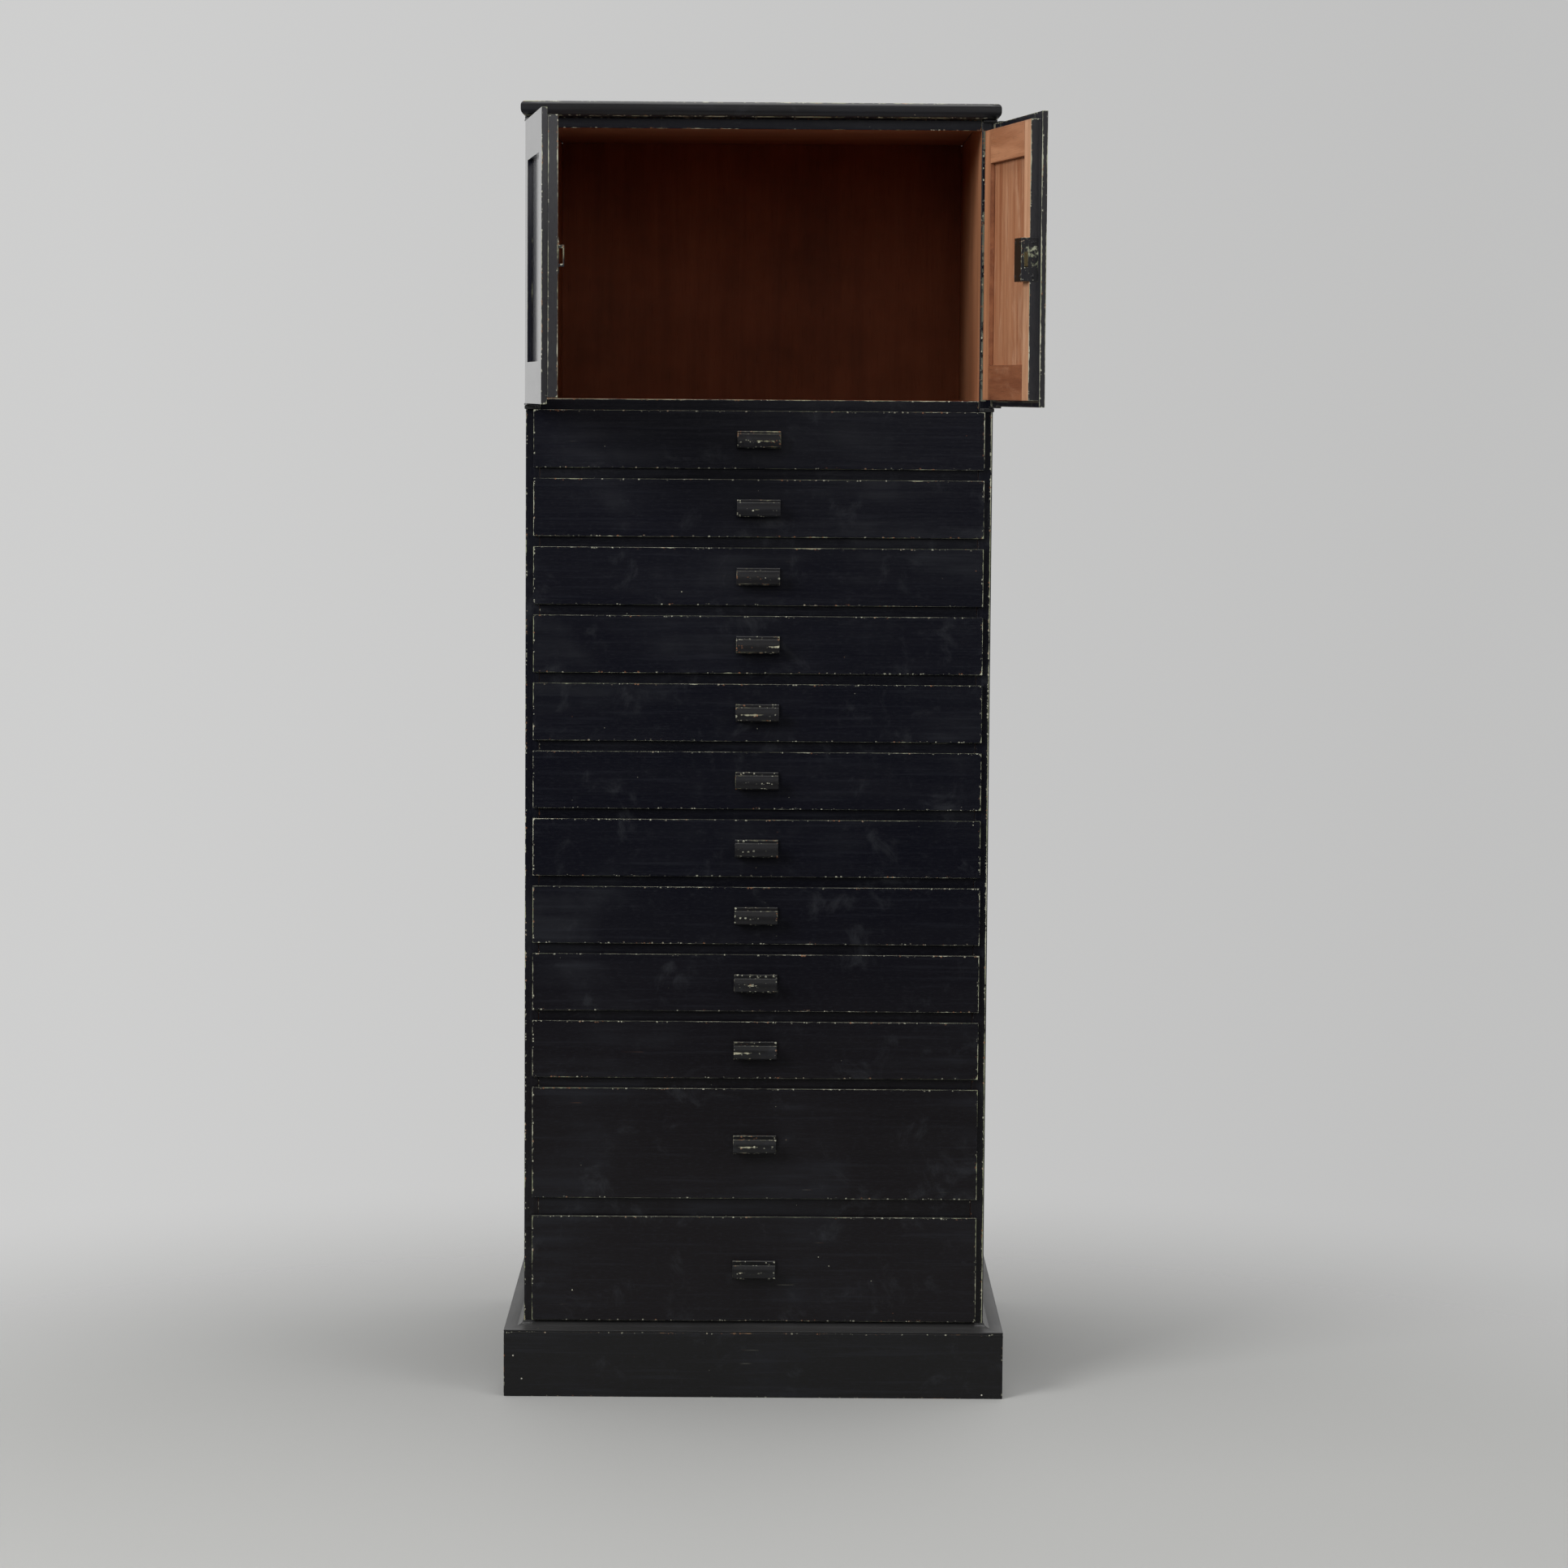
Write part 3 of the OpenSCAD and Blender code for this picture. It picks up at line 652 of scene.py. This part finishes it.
def door_frame(door):
    """Glossy black outside; mahogany inside, paler on the free stile, darker on the lower rail, and darker on the
    recess walls as painted shade; an old coat behind the lip at the hinges.
    """
    bm = door.frame
    hinge_x = door.high.x if door.side > 0 else door.low.x
    lip_meet = door.side * MEETING_GAP
    recess_margin = 2 * MM
    old_coat_width = 12 * MM
    cut_beside_edges(bm, margin=4 * MM)
    round_edges(bm, radius=1.5 * MM)
    inner_y = door.high.y
    rail_low, rail_high = door.low.z + DOOR_RAIL, door.high.z - DOOR_RAIL
    x_a, x_b = sorted((lip_meet + door.side * STILE, hinge_x - door.side * STILE))

    def pick(place, normal):
        upright = not x_a < place.x < x_b
        across = x_a - recess_margin < place.x < x_b + recess_margin
        in_recess = across and rail_low - recess_margin < place.z < rail_high + recess_margin
        if place.y > inner_y - 0.3 * MM or (in_recess and place.y > door.panel_y):
            # The recess walls take the darker red mahogany as painted shade
            if in_recess and abs(normal.y) < 0.5:
                return RED_MAHOGANY
            if upright:
                free = abs(place.x) < MEETING_GAP + STILE + recess_margin
                return PALE_MAHOGANY if free else MAHOGANY["z"]
            return RED_MAHOGANY if place.z < door.panel_z else MAHOGANY["x"]
        behind_lip = near(place.y, LIP_BACK_Y, 0.6 * MM) and normal.y > MOSTLY
        if behind_lip and abs(place.x) > abs(hinge_x) - old_coat_width:
            return OLD_COAT
        if abs(normal.x) > MOSTLY and abs(place.x) < MEETING_GAP + STILE / 2:
            return EDGE_PAINT
        return DOOR_PAINT["z" if upright else "x"]

    woods = [MAHOGANY["z"], RED_MAHOGANY, OLD_COAT, PALE_MAHOGANY, MAHOGANY["x"], EDGE_PAINT]
    materials = [DOOR_PAINT["z"], DOOR_PAINT["x"]] + woods
    stand_for(link(door.name + "_joined_frame", bm, materials, pick, door.to_open), door.name + "_frame")


def door_panel(door):
    bm = door.panel
    bmesh.ops.subdivide_edges(bm, edges=bm.edges, cuts=1, use_grid_fill=True)

    def pick(place, normal):
        return PANEL_MAHOGANY if normal.y > 0.5 else DOOR_PAINT["z"]

    panel = link(door.name + "_flat_panel", bm, [DOOR_PAINT["z"], PANEL_MAHOGANY], pick, door.to_open)
    stand_for(panel, door.name + "_panel")


def screw_head(bm, center, direction, radius, spin=0.6):
    """Adds a low domed head with a slot."""
    segments = 20
    rings = 4
    height = 0.32 * radius
    slot_depth = 0.75 * height
    half_slot = 0.2 * radius
    verts = []
    up = Vector(direction).normalized()
    basis = up.to_track_quat("Z", "Y").to_matrix().to_4x4()
    place = Matrix.Translation(Vector(center)) @ basis
    for ring in range(rings + 1):
        angle = math.pi / 2 * ring / rings
        r, z = radius * math.cos(angle), height * math.sin(angle)
        if ring == rings:
            verts.append([bm.verts.new(place @ Vector((0, 0, z)))])
            continue
        loop = []
        for k in range(segments):
            turn = 2 * math.pi * k / segments
            x, y = r * math.cos(turn), r * math.sin(turn)
            across = x * math.sin(spin) - y * math.cos(spin)
            sink = slot_depth if abs(across) < half_slot and ring > 0 else 0.0
            loop.append(bm.verts.new(place @ Vector((x, y, z - sink))))
        verts.append(loop)
    for lower, upper in zip(verts, verts[1:]):
        for k in range(segments):
            following = (k + 1) % segments
            if len(upper) == 1:
                bm.faces.new((lower[k], lower[following], upper[0]))
            else:
                bm.faces.new((lower[k], lower[following], upper[following], upper[k]))
    bm.faces.new(list(reversed(verts[0])))


def hinges(door):
    bm = cad_mesh(door.name + "_hinge_leaves", turn=door.to_closed)
    round_edges(bm, radius=0.35 * MM, segments=2)
    stand_for(link(door.name + "_leaves", bm, [IRON], turn=door.to_open), door.name + "_hinge_leaves")


def brackets():
    bm = cad_mesh("hinge_brackets")
    round_edges(bm, radius=0.9 * MM, segments=2)
    low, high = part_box("hinge_brackets")
    stand_for(link("hinge_bracket_irons", bm, [IRON]), "hinge_brackets")
    screw_x = INNER_X + 7 * MM
    screw_z = low.z + 2.9 * MM
    bm = bmesh.new()
    for side in (-1, 1):
        screw_head(bm, (side * screw_x, low.y, screw_z), (0, -1, 0), radius=2.0 * MM)
    extra(link("hinge_bracket_screws", bm, [IRON]), "carcass")


def lock(door):
    bm = cad_mesh("lock_case", turn=door.to_closed)
    round_edges(bm, radius=0.8 * MM, segments=2)
    low, high = span(bm)
    painted_rim = 2 * MM

    def pick(place, normal):
        on_rim = normal.y > 0.5 and place.x < low.x + painted_rim
        return CHIPPED_PAINT if normal.x < -0.5 or on_rim else STEEL

    stand_for(link("box_lock_case", bm, [STEEL, CHIPPED_PAINT], pick, door.to_open), "lock_case")

    # Edge plate on the door's edge with two screws, and four screws through the case
    bm = bmesh.new()
    plate_x = low.x - 0.35 * MM
    plate_y = low.y - 14 * MM + 1.5 * MM
    screw_y = low.y - 5 * MM
    case_y = high.y - 0.1 * MM
    box(bm, (plate_x, plate_y, low.z), (low.x + 1 * MM, low.y + 2 * MM, high.z))
    round_edges(bm, radius=0.3 * MM, segments=2)
    for z in (low.z + 7 * MM, high.z - 7 * MM):
        screw_head(bm, (plate_x, screw_y, z), (-1, 0, 0), radius=2.4 * MM, spin=0.4 + z)
        for x in (low.x + 6 * MM, high.x - 6 * MM):
            screw_head(bm, (x, case_y, z), (0, 1, 0), radius=2.6 * MM, spin=1.1 + 9 * x)
    extra(link("box_lock_edge_plate", bm, [CHIPPED_PAINT], turn=door.to_open), "right_door")

    bm = cad_mesh("escutcheon", turn=door.to_closed)
    round_edges(bm, radius=0.3 * MM, segments=2)
    stand_for(link("keyhole_plate", bm, [BRASS], turn=door.to_open), "escutcheon")
    bm = cad_mesh("lock_bolt", turn=door.to_closed)
    round_edges(bm, radius=0.6 * MM, segments=2)
    stand_for(link("sliding_bolt", bm, [DARK_BRASS], turn=door.to_open), "lock_bolt")


def keeper(door):
    bm = cad_mesh("strike_plate", turn=door.to_closed)
    low, high = span(bm)
    middle_x = (low.x + high.x) / 2
    flange_y = low.y + 1.4 * MM
    round_edges(bm, radius=0.4 * MM, segments=2)
    for z in (low.z + 5 * MM, high.z - 5 * MM):
        screw_head(bm, (middle_x, flange_y, z), (0, 1, 0), radius=2.4 * MM, spin=0.9)
    stand_for(link("lock_keeper", bm, [CHIPPED_PAINT], turn=door.to_open), "strike_plate")


# ---------------------------------------------------------------- drawers


def drawer_front(name):
    upright_rim = 1.3 * MM
    upright_wear_and_highlight = 0.92
    bm = cad_mesh(name + "_front")
    low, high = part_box(name + "_front")
    cut_beside_edges(bm, margin=4 * MM)
    round_edges(bm, radius=1.1 * MM, shoulder=0.72)
    layer = bm.verts.layers.float["wear"]
    # The front faces of the upright rims get a pale line: partly worn paint, partly a painted highlight on the
    # rounded arris
    for vert in bm.verts:
        if abs(vert.co.x) > high.x - upright_rim and vert.co.y < low.y + 0.1 * MM:
            vert[layer] = upright_wear_and_highlight

    def pick(place, normal):
        if place.y < FRONT_Y - 0.2 * MM:
            return FRONT_PAINT
        return END_GRAIN if abs(normal.x) > MOSTLY else MAHOGANY["x"]

    front = link(name + "_lipped_front", bm, [FRONT_PAINT, MAHOGANY["x"], END_GRAIN], pick)
    stand_for(front, name + "_front")


def drawer_pull(name, rng):
    """The pull, rubbed along the bulge of its lip and most where fingers take it."""
    bm = cad_mesh(name + "_pull")
    low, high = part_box(name + "_pull")
    steps = 12
    cut(bm, 0, [low.x + (high.x - low.x) * k / steps for k in range(1, steps)])
    round_edges(bm, radius=0.8 * MM, segments=2)
    layer = bm.verts.layers.float["wear"]
    spot = rng.uniform(0.0, 1.0)
    spread = rng.uniform(0.15, 0.5)
    strength = rng.uniform(0.90, 1.30)
    bulge = low.z + 0.42 * (high.z - low.z)
    half_band = 3.2 * MM
    for vert in bm.verts:
        out = (high.y - vert.co.y) / (high.y - low.y)
        across = (vert.co.x - low.x) / (high.x - low.x)
        if out > 0.9:
            band = math.exp(-((vert.co.z - bulge) / half_band) ** 2)
            rub = strength * band * (0.6 + 0.4 * math.exp(-((across - spot) / spread) ** 2))
            vert[layer] = max(vert[layer], rub)
    stand_for(link(name + "_scooped_pull", bm, [PULL_PAINT]), name + "_pull")

    # The two screws that hold it, inside the drawer
    back_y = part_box(name + "_front")[1].y
    middle_z = (low.z + high.z) / 2
    bm = bmesh.new()
    for x in (-20 * MM, 20 * MM):
        screw_head(bm, (x, back_y, middle_z), (0, 1, 0), radius=4 * MM, spin=rng.uniform(0, 3))
    extra(link(name + "_pull_screws", bm, [STEEL]), BODY_OF[name + "_pull"])


def drawer_tray(name):
    bm = cad_mesh(name + "_tray")
    low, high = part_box(name + "_tray")
    side_t = 11 * MM
    round_edges(bm, radius=0.9 * MM, segments=2)

    def pick(place, normal):
        in_side = abs(place.x) > high.x - side_t - 0.2 * MM
        return PALE_WOOD["y" if in_side else "x"]

    stand_for(link(name + "_box", bm, [PALE_WOOD["y"], PALE_WOOD["x"]], pick), name + "_tray")

    # Dovetails: tails of the sides let into the front, and pins of the back showing in the sides
    front_y = FRONT_Y + 14 * MM
    tail_length = 11 * MM
    tall = high.z - low.z
    count = max(3, round(tall / (24 * MM)))
    step = tall / count
    sunk, proud = -0.4 * MM, 0.12 * MM
    joinery = [PALE_WOOD["y"], END_GRAIN]
    bm = bmesh.new()

    def wedge(side, mid, wide_end, thin_end, material):
        """A low block with a tapered outline on a side's outer face; an end is its y and half height."""
        (y_wide, wide), (y_thin, thin) = wide_end, thin_end
        outline = ((y_wide, -wide), (y_thin, -thin), (y_thin, thin), (y_wide, wide))
        inner, outer = (
            [bm.verts.new((side * (high.x + lift), y, mid + rise)) for y, rise in outline]
            for lift in (sunk, proud)
        )
        faces = [bm.faces.new(inner), bm.faces.new(outer)]
        for i in range(4):
            after = (i + 1) % 4
            faces.append(bm.faces.new((inner[i], inner[after], outer[after], outer[i])))
        for face in faces:
            face.material_index = joinery.index(material)

    for side in (-1, 1):
        for k in range(count):
            mid = low.z + (k + 0.5) * step
            tail = (front_y - tail_length, 0.40 * step), (front_y + 0.5 * MM, 0.27 * step)
            wedge(side, mid, *tail, PALE_WOOD["y"])
            if k < count - 1:
                pin = (high.y - 0.2 * MM, 0.14 * step), (high.y - side_t, 0.22 * step)
                wedge(side, mid + step / 2, *pin, END_GRAIN)
    bmesh.ops.recalc_face_normals(bm, faces=bm.faces)
    extra(link(name + "_dovetails", bm, joinery), BODY_OF[name + "_tray"])


# ---------------------------------------------------------------- studio


def studio():
    half = 9.0
    mesh = bpy.data.meshes.new("floor")
    corners = [(-half, -half, 0), (half, -half, 0), (half, half, 0), (-half, half, 0)]
    mesh.from_pydata(corners, [], [(0, 1, 2, 3)])
    mesh.materials.append(floor_surface())
    floor = bpy.data.objects.new("floor", mesh)
    bpy.context.scene.collection.objects.link(floor)

    # An even pale backdrop to the eye; as light it is bright behind the cabinet and dim in front
    world = bpy.data.worlds.new("studio")
    bpy.context.scene.world = world
    world.use_nodes = True
    nodes, links = world.node_tree.nodes, world.node_tree.links
    nodes.clear()
    coords = nodes.new("ShaderNodeTexCoord")
    split = nodes.new("ShaderNodeSeparateXYZ")
    links.new(coords.outputs["Generated"], split.inputs[0])
    backwards = nodes.new("ShaderNodeMapRange")
    links.new(split.outputs["Y"], backwards.inputs["Value"])
    for key, value in (("From Min", -0.35), ("From Max", 0.65), ("To Min", 0.04), ("To Max", 0.62)):
        backwards.inputs[key].default_value = value
    sideways = nodes.new("ShaderNodeMapRange")
    links.new(split.outputs["X"], sideways.inputs["Value"])
    for key, value in (("From Min", -0.15), ("From Max", 0.15), ("To Min", 0.62), ("To Max", 0.53)):
        sideways.inputs[key].default_value = value
    path = nodes.new("ShaderNodeLightPath")
    mix = nodes.new("ShaderNodeMix")
    mix.data_type = "FLOAT"
    links.new(path.outputs["Is Camera Ray"], mix.inputs["Factor"])
    links.new(backwards.outputs["Result"], mix.inputs[2])
    links.new(sideways.outputs["Result"], mix.inputs[3])
    background = nodes.new("ShaderNodeBackground")
    background.inputs["Color"].default_value = (1.0, 1.0, 0.995, 1.0)
    links.new(mix.outputs[0], background.inputs["Strength"])
    output = nodes.new("ShaderNodeOutputWorld")
    links.new(background.outputs[0], output.inputs["Surface"])


def area_light(name, place, target, size, power):
    data = bpy.data.lights.new(name, "AREA")
    data.shape = "SQUARE"
    data.size = size
    data.energy = power
    made = bpy.data.objects.new(name, data)
    made.location = place
    made.rotation_euler = (Vector(target) - Vector(place)).to_track_quat("-Z", "Y").to_euler()
    made.visible_camera = False
    bpy.context.scene.collection.objects.link(made)


def camera():
    """Stands about 6.6 m in front, at the height of the cupboard's floor, looking slightly down."""
    data = bpy.data.cameras.new("camera")
    data.sensor_width = 36.0
    data.lens = 102.2
    data.clip_end = 100.0
    made = bpy.data.objects.new("camera", data)
    bpy.context.scene.collection.objects.link(made)
    made.location = (0.0138, -6.948, 1.5045)
    yaw, pitch, roll = 0.0040, 0.0881, 0.0071
    ahead = Vector((math.sin(yaw) * math.cos(pitch), math.cos(yaw) * math.cos(pitch), -math.sin(pitch)))
    level = ahead.to_track_quat("-Z", "Y").to_matrix().to_4x4()
    made.matrix_world = Matrix.Translation(made.location) @ level @ Matrix.Rotation(roll, 4, "Z")
    bpy.context.scene.camera = made


camera()
studio()
area_light("key", place=(-3.8, -4.1, 3.5), target=(0.2, 0, 1.1), size=2.6, power=265)
area_light("top", place=(0.3, -0.6, 4.6), target=(0, 0.1, 0.9), size=3.0, power=130)
area_light("fill", place=(3.8, -3.4, 2.2), target=(0, 0, 1.0), size=2.4, power=50)
area_light("front", place=(0.7, -7.0, 3.1), target=(0, 0, 1.6), size=2.2, power=26)

side_board("left_side")
side_board("right_side")
top_board()
plain_rails()
back_panel()
plain_wood("drawer_runners", PALE_WOOD["y"])
plain_wood("plinth_cross_boards", PALE_WOOD["x"])
plinth()
brackets()
for side in (-1, 1):
    door = Door(side)
    door_frame(door)
    door_panel(door)
    hinges(door)
    if side > 0:
        lock(door)
    else:
        keeper(door)
draws = random.Random(12)
for drawer in DRAWERS:
    drawer_front(drawer)
    drawer_pull(drawer, draws)
    drawer_tray(drawer)

bpy.context.scene.view_settings.view_transform = "Standard"
